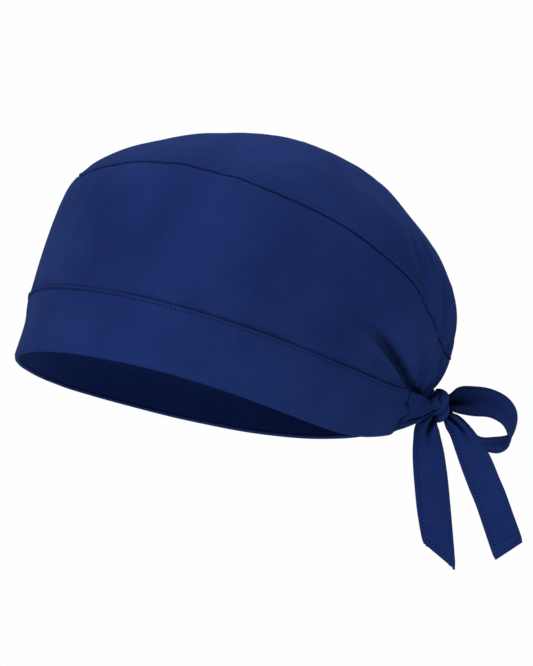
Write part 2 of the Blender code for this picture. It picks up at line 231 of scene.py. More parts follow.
# %% Cap surface
def section(row):
    """Every column of the section table at a height row between rim 0 and apex 7."""
    values = np.array(SECTIONS)
    mirror = np.array([-1.0 if name in MIRRORED else 1.0 for name in SECTION_COLUMNS])
    values = np.vstack([2 * values[0] - values[1], values, values[-2] * mirror])
    row = np.asarray(row, float)
    index = np.clip(np.floor(row).astype(int), 0, len(SECTIONS) - 2)
    u = (row - index)[..., None]
    p0, p1, p2, p3 = (values[index + k] for k in range(4))
    mixed = 2 * p1 + (p2 - p0) * u
    mixed = mixed + (2 * p0 - 5 * p1 + 4 * p2 - p3) * u ** 2
    mixed = mixed + (3 * p1 - p0 - 3 * p2 + p3) * u ** 3
    return {name: 0.5 * mixed[..., k] for k, name in enumerate(SECTION_COLUMNS)}


def smooth_body(angle, row):
    """Point of the unfolded cap surface in the level frame."""
    angle, row = np.broadcast_arrays(np.asarray(angle, float), np.asarray(row, float))
    part = section(row)
    turn = np.radians(angle)
    across = np.abs(np.sin(turn))
    ahead = np.cos(turn)
    wide = HALF_WIDTH * part["half_width"]
    blunt = HALF_WIDTH * part["blunt"]
    rear = (wide - blunt) * across ** part["back_power"] + blunt * across ** 0.5
    x = np.sign(np.sin(turn)) * np.where(ahead > 0, wide * across ** part["front_power"], rear)
    reach = np.where(ahead > 0, part["front"], part["back"])
    y = CAP_LENGTH * (part["centre"] - reach * ahead - CENTRE_SHARE)
    rearward = np.clip(-ahead, 0, 1)
    lift = part["back_lift"] * rearward ** 5 - part["side_dip"] * across ** 2
    level = np.clip((row - 6.35) / 0.6, 0, 1)
    lift = lift * (1 - level * level * (3 - 2 * level))
    z = CAP_HEIGHT * (part["height"] + lift)
    return np.stack([x, y, z], -1)


def outward(shape, angle, row):
    """Outward direction of a surface function at angle and row."""
    wide = shape(angle + 0.3, row) - shape(angle - 0.3, row)
    tall = shape(angle, row + 0.01) - shape(angle, row - 0.01)
    normal = np.cross(wide, tall)
    return normal / np.maximum(np.linalg.norm(normal, axis=-1), 1e-12)[..., None]

# %% [markdown]
# The gathers ride on the smooth surface along its outward direction. The whole cap then leans
# back, as it is worn, with the front higher than the knot.

# %% Gathered surface
def folds_from(table, angle, row):
    """Summed height of a fold table, the same on both sides."""
    total = np.zeros(np.broadcast(angle, row).shape)
    for line in table:
        fold = dict(zip(FOLD_COLUMNS, line))
        share = (row - fold["row_low"]) / (fold["row_high"] - fold["row_low"])
        centre = fold["angle_low"] + (fold["angle_high"] - fold["angle_low"]) * share
        ends = np.sin(math.pi * np.clip(0.12 + 0.88 * share, 0, 1)) ** 0.7
        total = total + fold["depth"] * ends * bell(np.abs(angle) - centre, fold["width"])
    return FOLD_DEPTH * total


def body(angle, row):
    """Point of the gathered cap surface in the level frame."""
    angle, row = np.broadcast_arrays(np.asarray(angle, float), np.asarray(row, float))
    height = folds_from(FOLDS, angle, row)[..., None]
    return smooth_body(angle, row) + height * outward(smooth_body, angle, row)


def lean(points):
    """Lean level points back by the worn tilt, the front rising."""
    tilt = math.radians(WORN_TILT)
    y = points[..., 1] * math.cos(tilt) + points[..., 2] * math.sin(tilt)
    z = points[..., 2] * math.cos(tilt) - points[..., 1] * math.sin(tilt)
    return np.stack([points[..., 0], y, z], -1)


print("top of the cap in mm:", np.round(lean(body(0.0, 7.0)) / MM, 1))

# %% [markdown]
# The knot sits behind the rim, and its bow hangs in a plane that is turned from the cap's own
# axes. Three directions describe that plane. Ripples are sums of a few waves with a fixed seed,
# so that every run gives the same cloth.

# %% Bow frame and ripples
def bow_frame():
    """Knot centre and the bow's out, up and away directions."""
    end = smooth_body(np.array(180.0), np.array(1.0))
    turn = math.radians(BOW_TURN)
    centre = lean(end) + np.array([0.0, KNOT_BACK, -KNOT_TALL * 0.06])
    out = np.array([math.cos(turn), math.sin(turn), 0.0])
    away = np.array([-math.sin(turn), math.cos(turn), 0.0])
    return centre, out, np.array([0.0, 0.0, 1.0]), away


def unit(vectors):
    """Vectors scaled to length one."""
    return vectors / np.maximum(np.linalg.norm(vectors, axis=-1), 1e-12)[..., None]


def ripple(u, v, size, seed):
    """Smooth wandering height between about -1 and 1, with waves near the given size."""
    random = np.random.default_rng(seed)
    total = np.zeros(np.broadcast(u, v).shape)
    for _ in range(9):
        turn = random.uniform(0, math.pi)
        wave = 2 * math.pi / (size * random.uniform(0.7, 1.6))
        total = total + np.sin(wave * (u * math.cos(turn) + v * math.sin(turn)) + random.uniform(0, 6.3))
    return total / 4.5


print("knot centre in mm:", np.round(bow_frame()[0] / MM, 1))

# %% [markdown]
# Between the large gathers lie finer ones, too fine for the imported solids. They use the same
# columns as the gather table. The rows at 180 degrees ease the back of the cap in and out.

# %% Fine folds
FINE_FOLDS = (
    (157, 1.98, 121, 2.60, 3.7, -3.5),
    (151, 1.96, 113, 2.62, 4.5, 1.9),
    (153, 2.12, 133, 2.70, 4.5, 2),
    (161, 1.96, 150.5, 2.78, 1.9, 3),
    (165.5, 1.96, 155.5, 2.80, 2.6, -4.2),
    (158, 2.02, 143, 2.66, 1.3, -0.8),
    (167.5, 2.02, 161, 2.70, 1.5, 1.2),
    (172, 2.05, 167, 2.66, 1.6, -1.1),
    (176.5, 2.10, 173, 2.62, 1.6, 0.8),
    (146, 2.04, 106, 2.46, 4.5, -1.1),
    (128, 2.14, 96, 2.48, 6, -0.8),
    (112, 2.60, 84, 3.60, 9, -0.7),
    (128, 2.70, 116, 3.50, 5, 0.6),
    (137, 3.24, 124, 3.80, 3, -0.9),
    (143, 3.05, 134, 4.40, 2.2, 1.4),
    (149, 2.86, 137, 4.30, 1.9, -1.6),
    (154.5, 2.76, 146, 4.20, 2.2, 1.3),
    (161, 2.72, 153, 4.00, 2.2, -1.2),
    (168, 2.68, 162, 3.80, 2, 0.7),
    (45, 4.10, 20, 5.60, 9, 0.8),
    (70, 4.10, 52, 5.40, 10, -0.8),
    (108, 3.95, 96, 4.90, 7, -0.6),
    (180, 2.24, 180, 2.88, 26, 1.6),
    (180, 2.74, 180, 3.70, 26, -1.2),
    (180, 3.25, 180, 5.20, 24, 0.7),
    (159, 1.92, 157, 2.34, 7.5, -2),
)


def row_length(angle, row):
    """Metres climbed by one row of the section table."""
    step = smooth_body(angle, row + 0.05) - smooth_body(angle, row - 0.05)
    return np.linalg.norm(step, axis=-1) / 0.1


def dressed(angle, row, lift):
    """World point of the cap surface with fine folds and an extra lift."""
    base = body(angle, row)
    out = outward(body, angle, np.minimum(row, 6.85))
    height = lift + folds_from(FINE_FOLDS, angle, row)
    return lean(base + out * height[..., None])


print("fine folds on each side:", len(FINE_FOLDS))

# %% [markdown]
# A seam is not a drawn line. The cloth rolls under at its edge, the stitches press a channel
# beside it, and the cloth between them puckers. A bump map could fake this, but the ditch would
# not catch the light at its real depth, so it is real height here.

# %% Crown and side relief
CROWN_STITCH = 2.2 * MM


def back_fade(angle):
    """Share of a wave kept near the back centre, so that both sides meet there."""
    return np.sin(0.5 * math.pi * np.clip((180 - np.abs(angle)) / 12, 0, 1)) ** 2


def slow_waves(angle, row):
    """Slow soft dents shared by the crown and the side wall."""
    round_way = angle * ROUND_STEP
    waves = 0.50 * ripple(round_way, row * 15 * MM, 30 * MM, 8)
    waves = waves + 0.16 * ripple(round_way, row * 15 * MM, 12 * MM, 14)
    return waves * back_fade(angle) * np.clip((6.6 - row) / 1.5, 0, 1) * MM


def crown_lift(angle, row, seam):
    """Rolled edge, stitch channel and puckers of the crown panel."""
    away_from_seam = (row - seam) * row_length(angle, seam)
    round_way = angle * ROUND_STEP
    edge = -0.85 * MM * bell(away_from_seam, 0.36 * MM)
    roll = 0.25 * MM * bell(away_from_seam - 1.1 * MM, 1.0 * MM)
    channel = -0.26 * MM * bell(away_from_seam - CROWN_STITCH, 0.45 * MM)
    pucker = 0.26 * MM * ripple(round_way, away_from_seam * 0.4, 8 * MM, 3)
    pucker = pucker * bell(away_from_seam, 9 * MM)
    pucker = pucker * (1 - bell(away_from_seam, MM))
    return edge + roll + channel + pucker * back_fade(angle) + slow_waves(angle, row)


def side_lift(angle, row, edge, seam):
    """Ditches at both seams and puckers of the side panel."""
    below = (seam - row) * row_length(angle, seam)
    above = (row - edge) * row_length(angle, edge)
    round_way = angle * ROUND_STEP
    ditch = -0.65 * MM * bell(below, 0.36 * MM)
    ditch = ditch - 0.12 * MM * bell(below, 1.5 * MM)
    foot = -0.25 * MM * bell(above, 0.8 * MM)
    pucker = 0.38 * MM * ripple(round_way, below * 0.25, 9 * MM, 11)
    pucker = pucker * bell(below, 12 * MM) * (1 - bell(below, MM))
    low_pucker = 0.20 * MM * ripple(round_way, above * 0.3, 8 * MM, 12)
    pucker = pucker + low_pucker * bell(above, 7 * MM)
    return ditch + foot + pucker * back_fade(angle) + slow_waves(angle, row)

# %% [markdown]
# The band is two layers of cloth turned up, so its top edge rolls into a lip. Near its ends,
# where the ties pull, it creases.

# %% Band relief
BAND_STITCH = 1.75 * MM


def band_lift(angle, row):
    """Rolled top and bottom edges and the stitch channel of the band."""
    above = row * row_length(angle, 0.5 + 0 * row)
    below = (BAND_TOP - row) * row_length(angle, 1.9 + 0 * row)
    round_way = angle * ROUND_STEP
    lip = 0.55 * MM * bell(below - 0.75 * MM, 0.55 * MM)
    roll = -0.9 * MM * bell(below, 0.35 * MM)
    rim = -0.5 * MM * bell(above, 0.7 * MM)
    channel = -0.30 * MM * bell(below - BAND_STITCH, 0.40 * MM)
    pucker = 0.13 * MM * ripple(round_way, below * 0.3, 6 * MM, 21)
    pucker = pucker * bell(below, 6 * MM)
    slow = 0.36 * MM * ripple(round_way, row * 10 * MM, 24 * MM, 23)
    to_end = (BAND_END - np.abs(angle)) * END_STEP
    crease = 1.5 * MM * np.sin(row * 7.2 + to_end / MM * 0.05)
    crease = crease * bell(to_end, 9 * MM)
    crease = crease * (1 - 0.8 * bell(to_end, 2.2 * MM))
    crease = crease * np.sin(math.pi * np.clip(row / BAND_TOP, 0, 1))
    return lip + roll + rim + channel + pucker + slow + crease

# %% [markdown]
# A panel of cloth starts as a flat grid and is bent onto a surface function, which is how a real
# panel is laid over a form. Its UV map is in metres of cloth, so the weave has one size on every
# piece. Solidify then gives it a wall, and the columns that meet behind are joined.

# %% Grid pieces
def grid_piece(name, columns, rows, place, cloth, wall=0.0, joined=False, material=None):
    """Cloth piece: a grid bent by place(u, v), with UVs in metres and an optional wall."""
    made = bmesh.new()
    bmesh.ops.create_grid(made, x_segments=columns, y_segments=rows, size=0.5)
    mesh = bpy.data.meshes.new(name)
    made.to_mesh(mesh)
    made.free()
    flat = np.empty(len(mesh.vertices) * 3)
    mesh.vertices.foreach_get("co", flat)
    flat = flat.reshape(-1, 3)
    points = place(flat[:, 0] + 0.5, flat[:, 1] + 0.5)
    mesh.vertices.foreach_set("co", np.ascontiguousarray(points).ravel())
    layer = mesh.uv_layers.new(name="UVMap")
    corner = np.empty(len(mesh.loops), dtype=np.int32)
    mesh.loops.foreach_get("vertex_index", corner)
    uv = (flat[:, :2] + 0.5) * np.array(cloth)
    layer.data.foreach_set("uv", np.ascontiguousarray(uv[corner]).ravel())
    if joined:
        made = bmesh.new()
        made.from_mesh(mesh)
        bmesh.ops.remove_doubles(made, verts=made.verts, dist=0.00002)
        made.to_mesh(mesh)
        made.free()
    mesh.polygons.foreach_set("use_smooth", [True] * len(mesh.polygons))
    mesh.update()
    if material:
        mesh.materials.append(material)
    print(name, "faces before its wall:", len(mesh.polygons))
    piece = bpy.data.objects.new(name, mesh)
    scene.collection.objects.link(piece)
    if wall > 0:
        solid = piece.modifiers.new("wall", "SOLIDIFY")
        solid.thickness = wall
        solid.offset = -1.0
        solid.use_even_offset = False
        solid.use_rim = True
    return piece


def round_angles(u):
    """Angles round the head, with more columns behind where the cloth gathers."""
    return np.interp(u, [0.0, 0.12, 0.27, 0.5, 0.73, 0.88, 1.0], [-180, -150, -110, 0, 110, 150, 180])

# %% [markdown]
# Cloth is woven: two sets of thread cross, and some threads are thicker than others. Two crossed
# waves make the weave and a fine noise makes the lint. Both read the UV map, so they run with the
# cloth and not across its folds.

# %% Weave and lint
def set_inputs(node, values):
    """Set several inputs of a node by name."""
    for name, value in values.items():
        node.inputs[name].default_value = value


def new_node(tree, kind, values=()):
    """Shader node of a kind, with inputs set by name."""
    node = tree.nodes.new("ShaderNode" + kind)
    set_inputs(node, dict(values))
    return node


def ranged(tree, value, source, target, curve="LINEAR"):
    """Socket of a value stretched from a source range to a target range."""
    node = new_node(tree, "MapRange")
    node.interpolation_type = curve
    set_inputs(node, {
        "From Min": source[0], "From Max": source[1], "To Min": target[0], "To Max": target[1],
    })
    tree.links.new(value, node.inputs["Value"])
    return node.outputs["Result"]


def multiplied(tree, colour, amount, share=1.0):
    """Socket of a colour multiplied by an amount."""
    node = new_node(tree, "Mix")
    node.data_type = "RGBA"
    node.blend_type = "MULTIPLY"
    node.inputs["Factor"].default_value = share
    tree.links.new(colour, node.inputs["A"])
    tree.links.new(amount, node.inputs["B"])
    return node.outputs["Result"]


def two_tone(tree, factor, dark, light):
    """Socket of a colour between a dark and a light tone."""
    node = new_node(tree, "Mix")
    node.data_type = "RGBA"
    set_inputs(node, {"A": dark, "B": light})
    tree.links.new(factor, node.inputs["Factor"])
    return node.outputs["Result"]


def thread_wave(tree, place, direction, scale, distortion):
    """One set of parallel threads."""
    node = new_node(tree, "TexWave")
    node.wave_type = "BANDS"
    node.bands_direction = direction
    set_inputs(node, {"Scale": scale, "Distortion": distortion, "Detail": 2.0})
    tree.links.new(place.outputs["UV"], node.inputs["Vector"])
    return node


def woven(tree, place):
    """Socket of two crossed sets of thread."""
    across = thread_wave(tree, place, "X", 520.0, 1.2)
    across.inputs["Detail Scale"].default_value = 0.6
    along_way = thread_wave(tree, place, "DIAGONAL", 430.0, 1.6)
    weave = new_node(tree, "Math")
    weave.operation = "MULTIPLY"
    tree.links.new(across.outputs["Fac"], weave.inputs[0])
    tree.links.new(along_way.outputs["Fac"], weave.inputs[1])
    return weave.outputs["Value"]


def linty(tree, place, seed):
    """Socket of fine uneven yarn, with a part of the noise of its own for each piece."""
    stretch = new_node(tree, "Mapping")
    set_inputs(stretch, {"Scale": (1000.0, 1250.0, 1.0), "Location": (seed, seed * 0.7, 0.0)})
    tree.links.new(place.outputs["UV"], stretch.inputs["Vector"])
    slub = new_node(tree, "TexNoise", {"Scale": 1.0, "Detail": 4.0, "Roughness": 0.6})
    tree.links.new(stretch.outputs["Vector"], slub.inputs["Vector"])
    return slub.outputs["Fac"]

# %% [markdown]
# The navy dye varies slowly over the cap. Narrow folds hold little light, and cloth near a seam
# looks darker than a lamp alone would make it, so an ambient occlusion node paints that shade into
# the colour of folds and seams. The loop's root lies in the shade of the knot, so painted shade
# darkens its cloth there.

# %% Cloth material
NAVY_DARK = (0.0082, 0.0213, 0.110, 1.0)
NAVY_LIGHT = (0.0118, 0.0295, 0.140, 1.0)


def dyed(tree, place):
    """Socket of the slowly changing navy."""
    slow = new_node(tree, "TexNoise", {"Scale": 22.0, "Detail": 3.0})
    tree.links.new(place.outputs["Object"], slow.inputs["Vector"])
    return two_tone(tree, ranged(tree, slow.outputs["Fac"], (0.34, 0.66), (0.0, 1.0)), NAVY_DARK, NAVY_LIGHT)


def painted_fold_shade(tree):
    """Socket of painted shade that is dark in narrow folds and seams."""
    hollow = new_node(tree, "AmbientOcclusion")
    hollow.samples = 6
    hollow.inputs["Distance"].default_value = 0.011
    return ranged(tree, hollow.outputs["AO"], (0.25, 0.95), (0.18, 1.0))


def root_shade(tree, place, root):
    """Socket of painted shade that rises from the root's share to one along a strap."""
    split = new_node(tree, "SeparateXYZ")
    tree.links.new(place.outputs["UV"], split.inputs["Vector"])
    return ranged(tree, split.outputs["X"], (0.014, 0.046), (root, 1.0), "SMOOTHSTEP")


def cloth_material(name, seed, root=1.0):
    """Navy cloth with weave, lint, a faint sheen, and painted shade in folds and at a root where asked."""
    made = bpy.data.materials.new(name)
    made.use_nodes = True
    tree = made.node_tree
    shader = tree.nodes["Principled BSDF"]
    place = new_node(tree, "TexCoord")
    weave = woven(tree, place)
    slub = linty(tree, place, seed)
    colour = multiplied(tree, dyed(tree, place), ranged(tree, slub, (0.30, 0.70), (0.82, 1.22)))
    colour = multiplied(tree, colour, ranged(tree, weave, (0.0, 1.0), (0.70, 1.20)), 0.12)
    # Painted shade: the colour darkens in narrow folds and seams.
    colour = multiplied(tree, colour, painted_fold_shade(tree))
    # Painted shade: a strap's root darkens where the knot shades it.
    colour = multiplied(tree, colour, root_shade(tree, place, root))
    tree.links.new(colour, shader.inputs["Base Color"])
    tree.links.new(ranged(tree, slub, (0.0, 1.0), (0.74, 0.92)), shader.inputs["Roughness"])
    height = new_node(tree, "Math")
    height.operation = "ADD"
    tree.links.new(weave, height.inputs[0])
    tree.links.new(slub, height.inputs[1])
    bump = new_node(tree, "Bump", {"Strength": 0.35, "Distance": 0.00012})
    tree.links.new(height.outputs["Value"], bump.inputs["Height"])
    tree.links.new(bump.outputs["Normal"], shader.inputs["Normal"])
    set_inputs(shader, {
        "Specular IOR Level": 0.04, "Sheen Weight": 0.05, "Sheen Roughness": 0.45,
        "Sheen Tint": (0.14, 0.36, 1.0, 1.0),
    })
    return made


crown_cloth = cloth_material("cloth_crown", 3.0)
side_cloth = cloth_material("cloth_side", 11.0)
band_cloth = cloth_material("cloth_band", 19.0)
tie_cloth = cloth_material("cloth_tie", 27.0)
# The loop's cloth carries painted shade: it starts darker at the knot.
loop_cloth = cloth_material("cloth_loop", 31.0, 0.38)
print("cloth materials:", 5)

# %% [markdown]
# Sewing thread is two strands twisted together, so it takes two tones of one blue. The stitches
# are a little lighter than the cloth, partly as a painted highlight, and a very dark thread paints
# the shade in the holes that the needle leaves and the shadow at the band's ends.

# %% Thread
def thread_material(name, dark, light):
    """Sewing thread: the cloth's blue, twisted from two tones."""
    made = bpy.data.materials.new(name)
    made.use_nodes = True
    tree = made.node_tree
    shader = tree.nodes["Principled BSDF"]
    place = new_node(tree, "TexCoord")
    twist = new_node(tree, "TexNoise")
    twist.inputs["Scale"].default_value = 900.0
    tree.links.new(place.outputs["Object"], twist.inputs["Vector"])
    tone = two_tone(tree, twist.outputs["Fac"], dark, light)
    tree.links.new(tone, shader.inputs["Base Color"])
    set_inputs(shader, {"Roughness": 0.7, "Specular IOR Level": 0.03})
    return made


# Painted shade: this very dark thread stands for the shade in needle holes and at the band's ends.
thread = thread_material("painted_shade_navy", (0.0016, 0.0052, 0.032, 1.0), (0.0030, 0.0085, 0.046, 1.0))
# The lighter thread is the thread's own blue, made lighter to partly paint the highlight on raised stitches.
light_thread = thread_material("thread_blue", (0.013, 0.038, 0.175, 1.0), (0.022, 0.058, 0.245, 1.0))
print("threads:", thread.name, light_thread.name)

# %% [markdown]
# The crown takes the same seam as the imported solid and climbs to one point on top. Its rows lie
# close together beside the seam, where the roll and the stitch channel need them. The last ring
# closes on its own middle, so the pole has no hole.

# %% Crown
LAST_RING_ROW = 6.97


def place_crown(u, v):
    """Point of the crown at shares round and up."""
    angle = round_angles(u)
    seam = along(CROWN_SEAM, angle)
    row = seam + (LAST_RING_ROW - seam) * (0.15 * v + 0.85 * v ** 1.7)
    lift = PANEL_WALL / 2 + crown_lift(angle, row, seam)
    points = dressed(angle, row, lift)
    last_ring = (v > 0.985) & (v < 0.9999)
    points[v > 0.9999] = points[last_ring].mean(axis=0) + np.array([0, 0, 0.06 * MM])
    return points


crown = grid_piece("crown_cloth", 420, 104, place_crown, (0.58, 0.16), PANEL_WALL, True, crown_cloth)

# %% [markdown]
# The side wall runs from the band up to the crown seam, with the same columns as the crown, so
# that both meet without a gap. Behind the straps its lower edge drops and is drawn into the knot.

# %% Side wall
def place_side(u, v):
    """Point of the side wall at shares round and up."""
    angle = round_angles(u)
    seam = along(CROWN_SEAM, angle)
    edge = along(SIDE_EDGE, angle) - 0.03
    edge = edge - 0.45 * bell(np.abs(angle) - 176.0, 5.0)
    share = 0.5 - 0.5 * np.cos(math.pi * v)
    row = edge + (seam - edge) * (0.35 * v + 0.65 * share)
    lift = PANEL_WALL / 2 + side_lift(angle, row, edge, seam)
    return dressed(angle, row, lift)


side = grid_piece("side_cloth", 420, 90, place_side, (0.60, 0.075), PANEL_WALL, True, side_cloth)

# %% [markdown]
# The band goes round the head and stops at the straps, so it stays open behind. Both ends turn
# under, which gives the seam where each tie is sewn on. The dark line along that seam is a painted
# shadow, laid with the stitches.

# %% Band
def place_band(u, v):
    """Point of the band at shares round and up."""
    angle = np.interp(
        u,
        [0.0, 0.03, 0.2, 0.5, 0.8, 0.97, 1.0],
        [-BAND_END, 1.5 - BAND_END, -115, 0, 115, BAND_END - 1.5, BAND_END],
    )
    share = 0.5 - 0.5 * np.cos(math.pi * v)
    row = (BAND_TOP - 0.012) * (0.3 * v + 0.7 * share)
    lift = BAND_PROUD + BAND_WALL / 2 + band_lift(angle, row)
    lift = lift - 0.35 * MM * bell(angle, 45) * row / BAND_TOP
    end = np.abs(np.abs(angle) - BAND_END) * END_STEP
    lift = lift - 1.7 * MM * bell(end, 0.5 * MM)
    return lean(body(angle, row) + outward(body, angle, row) * lift[..., None])


band_piece = grid_piece("band_cloth", 420, 40, place_band, (0.50, 0.033), BAND_WALL, False, band_cloth)

# %% [markdown]
# Each tie starts under the band's end and narrows into the knot. Pulled cloth creases along the
# pull, so one deep crease with a flap above it runs the length of the tie.

# %% Ties
def strap_crease(angle, row):
    """Creases that run along a tie towards the knot."""
    turn = np.abs(angle)
    share = np.clip((turn - 150.5) / 20.0, 0, 1)
    grow = 0.25 + 0.75 * np.clip((turn - 152.5) / 6.0, 0, 1)
    low = np.interp(turn, [150, 154.8, 160.2, 172.8], [0.42, 0.56, 0.76, 0.88])
    crease = -2.4 * MM * bell(row - low, 0.085)
    flap = 1.9 * MM * bell(row - low - 0.17, 0.13)
    dip = -0.5 * MM * bell(row - low - 0.62, 0.14)
    top = 0.7 * MM * bell(row - 1.62 + 0.25 * share, 0.16)
    lower = 0.7 * MM * bell(row - low + 0.24, 0.12)
    return (crease + flap + dip + top + lower) * grow


def place_tie(side_sign):
    """Surface function of the tie on one side."""
    def place(u, v):
        turn = BAND_END - 1.6 + (STRAP_END + 3.6 - BAND_END) * (u if side_sign > 0 else 1 - u)
        foot = along(STRAP_FOOT, turn)
        top = along(STRAP_TOP, turn) - 0.012
        row = foot + (top - foot) * v
        angle = side_sign * turn
        rim = np.minimum(v, 1 - v)
        low = BAND_PROUD + BAND_WALL / 2 - 0.8 * MM
        climb = np.clip((turn - 151.5) / 9.0, 0, 1)
        lift = low + (TIE_PROUD + TIE_WALL / 2 - low) * climb + strap_crease(angle, row)
        lift = lift - 0.6 * MM * bell(rim, 0.035)
        tucked = 1 - np.clip((turn - BAND_END + 0.2) / 0.9, 0, 1)
        lift = lift - 1.7 * MM * tucked ** 1.5
        lift = lift + 1.5 * MM * np.clip((turn - 166.0) / 7.0, 0, 1) * np.sin(math.pi * v)
        return lean(smooth_body(angle, row) + outward(smooth_body, angle, row) * lift[..., None])
    return place


tie_left = grid_piece("tie_cloth_left", 60, 48, place_tie(1), (0.026, 0.030), TIE_WALL, False, tie_cloth)
tie_right = grid_piece("tie_cloth_right", 60, 48, place_tie(-1), (0.026, 0.030), TIE_WALL, False, tie_cloth)

# %% [markdown]
# Folds fan out of the knot into the loop and the tails, and fade along them. Each row says where
# a fold starts and ends across and along the strap, how wide it is and how high in millimetres.

# %% Strap creases
CREASE_COLUMNS = ("across_start", "across_end", "along_start", "along_end", "width", "depth")
LOOP_CREASES = (
    (0.40, 0.46, -0.02, 0.20, 0.10, -3.4),
    (0.66, 0.76, -0.02, 0.18, 0.09, 1.2),
    (0.16, 0.20, -0.02, 0.14, 0.08, 0.9),
    (0.50, 0.50, 0.90, 1.02, 0.12, -1.2),
)
LEFT_CREASES = (
    (0.62, 0.46, -0.02, 0.46, 0.08, -4.8),
    (0.34, 0.24, -0.02, 0.34, 0.11, 1.5),
    (0.84, 0.72, -0.02, 0.32, 0.09, 1.4),
    (0.10, 0.32, 0.02, 0.26, 0.05, -1.2),
)
RIGHT_CREASES = (
    (0.45, 0.58, -0.02, 0.38, 0.07, -3.8),
    (0.72, 0.82, -0.02, 0.32, 0.09, 1.4),
    (0.20, 0.30, -0.02, 0.30, 0.09, 1.3),
    (0.88, 0.92, 0.02, 0.22, 0.04, -0.8),
)


def crease_height(table, across, length):
    """Height of a strap's creases in metres."""
    total = np.zeros(np.broadcast(across, length).shape)
    for line in table:
        crease = dict(zip(CREASE_COLUMNS, line))
        span = crease["along_end"] - crease["along_start"]
        share = np.clip((length - crease["along_start"]) / span, 0, 1)
        middle = crease["across_start"] + (crease["across_end"] - crease["across_start"]) * share
        fade = np.cos(share * math.pi / 2) ** 1.2
        height = crease["depth"] * MM * fade
        total = total + height * bell(across - middle, crease["width"])
    return total


print("strap creases:", len(LOOP_CREASES), len(LEFT_CREASES), len(RIGHT_CREASES))

# %% [markdown]
# The loop and the tails are straps between two edge curves. The stitch channel and the rounded
# rim run along both edges, and the first few millimetres are drawn into the knot, so no strap
# starts in the open.

# %% Loop and tails
STRAP_STITCH = 2.2 * MM


def strap_frame(table, u, v):
    """Middle surface and normal of a strap at length share u and width share v."""
    centre, out, up, away = bow_frame()
    values = np.array(table)

    def middle(u, v):
        at = smooth(np.arange(len(values)), values, u * (len(values) - 1))
        local = (at[:, 0:3] * (1 - v[:, None]) + at[:, 3:6] * v[:, None]) * TIE_WIDTH
        return centre + local[:, 0:1] * out + local[:, 1:2] * up + local[:, 2:3] * away, at[:, 6]

    step = 0.004
    point, cup = middle(u, v)
    ahead = middle(u + step, v)[0] - middle(u - step, v)[0]
    sideways = middle(u, v + step)[0] - middle(u, v - step)[0]
    normal = unit(np.cross(ahead, sideways))
    return point, normal, cup * TIE_WIDTH * 4 * v * (1 - v)


def place_strap(table, creases, seed):
    """Surface function of a strap with its creases and slow waves."""
    def place(u, v):
        narrowing = 1 - 0.06 * bell(1 - u, 0.015)
        point, normal, cup = strap_frame(table, u, 0.5 + (v - 0.5) * narrowing)
        rim = np.minimum(v, 1 - v) * TIE_WIDTH
        lift = cup + crease_height(creases, v, u)
        lift = lift + 0.25 * MM * ripple(u * 0.08, v * TIE_WIDTH, 18 * MM, seed)
        lift = lift - 0.22 * MM * bell(rim - STRAP_STITCH, 0.4 * MM)
        lift = lift - 0.45 * MM * bell(rim, 0.5 * MM)
        inside = 0.32 * bell(u, 0.03)
        point = point + (bow_frame()[0] - point) * inside[:, None]
        return point + normal * (lift + TIE_WALL / 2)[:, None]
    return place


place_loop = place_strap(BOW_LOOP, LOOP_CREASES, 31)
place_left = place_strap(TAIL_LEFT, LEFT_CREASES, 32)
place_right = place_strap(TAIL_RIGHT, RIGHT_CREASES, 33)
loop = grid_piece("loop_cloth", 260, 44, place_loop, (0.105, 0.016), TIE_WALL, False, loop_cloth)
tail_left = grid_piece("tail_cloth_left", 200, 44, place_left, (0.082, 0.016), TIE_WALL, False, tie_cloth)
tail_right = grid_piece("tail_cloth_right", 200, 44, place_right, (0.085, 0.016), TIE_WALL, False, tie_cloth)

# %% [markdown]
# The knot is cloth rolled round itself. A torus or a sculpted lump would not show which turn goes
# over which. So each turn is a soft roll along a short path, given as out, up and away from the
# knot's middle, half its width and half its depth, all in millimetres.

# %% Knot turns
MAIN_TURN = (
    (-4.2, -4.6, -1.6, 1, 1.4),
    (-2.6, -3.6, -3.4, 2.3, 2.2),
    (0.2, -1.6, -4.2, 3.2, 2.6),
    (2.6, 1.8, -3.8, 3, 2.6),
    (3, 4.8, -2.4, 2.6, 2.4),
    (1.4, 6.9, -0.4, 2.2, 2),
    (-0.8, 7.6, 1.2, 1.4, 1.4),
)
LOW_TURN = (
    (4.2, 1.4, -1.6, 1.2, 1.8),
    (3.8, -1.8, -2.6, 2, 2.4),
    (2.6, -4.8, -2.8, 2.6, 2.6),
    (0.4, -6.9, -1.6, 2.6, 2.2),
    (-1.8, -7.4, 0.2, 1.4, 1.4),
)
INNER_TURN = (
    (-3.4, -1.8, -3.6, 0.7, 0.9),
    (-2.4, 0.2, -4.6, 1.2, 1.4),
    (-1.2, 2.6, -4.6, 1.3, 1.5),
    (-0.4, 4.8, -3.6, 1.4, 1.5),
    (-0.6, 6.6, -1.8, 1.2, 1.3),
)
EDGE_TURN = (
    (-4.4, 0.4, -2.2, 0.8, 1),
    (-4, 2.6, -2.6, 1.3, 1.3),
    (-3.2, 5, -2.4, 1.7, 1.5),
    (-2.7, 6.6, -0.9, 1.9, 1.5),
    (-2, 7.6, 0.4, 1.4, 1.2),
)
LEFT_TURN = (
    (-7.6, 0.8, -1.6, 2.6, 1.3),
    (-5.6, 0.6, -2.6, 2.6, 1.6),
    (-3.8, 0.2, -3, 2.2, 1.5),
    (-2.6, 0, -2.2, 1, 0.8),
)
BACK_TURN = (
    (-3.4, 5.2, 1, 1.8, 1.6),
    (-2, 3.4, 3.6, 2.8, 2.2),
    (0.6, 0.4, 4.4, 3.6, 2.4),
    (2.8, -2.8, 3.4, 3, 2.2),
    (3.4, -5.4, 1.2, 2, 1.8),
)
TURNS = (MAIN_TURN, LOW_TURN, INNER_TURN, EDGE_TURN, LEFT_TURN, BACK_TURN)
print("turns of the knot:", len(TURNS))

# %% [markdown]
# All turns wrap a plain core that fills the middle. They are joined into one mesh, and its faces
# are turned outward once the parts are together.

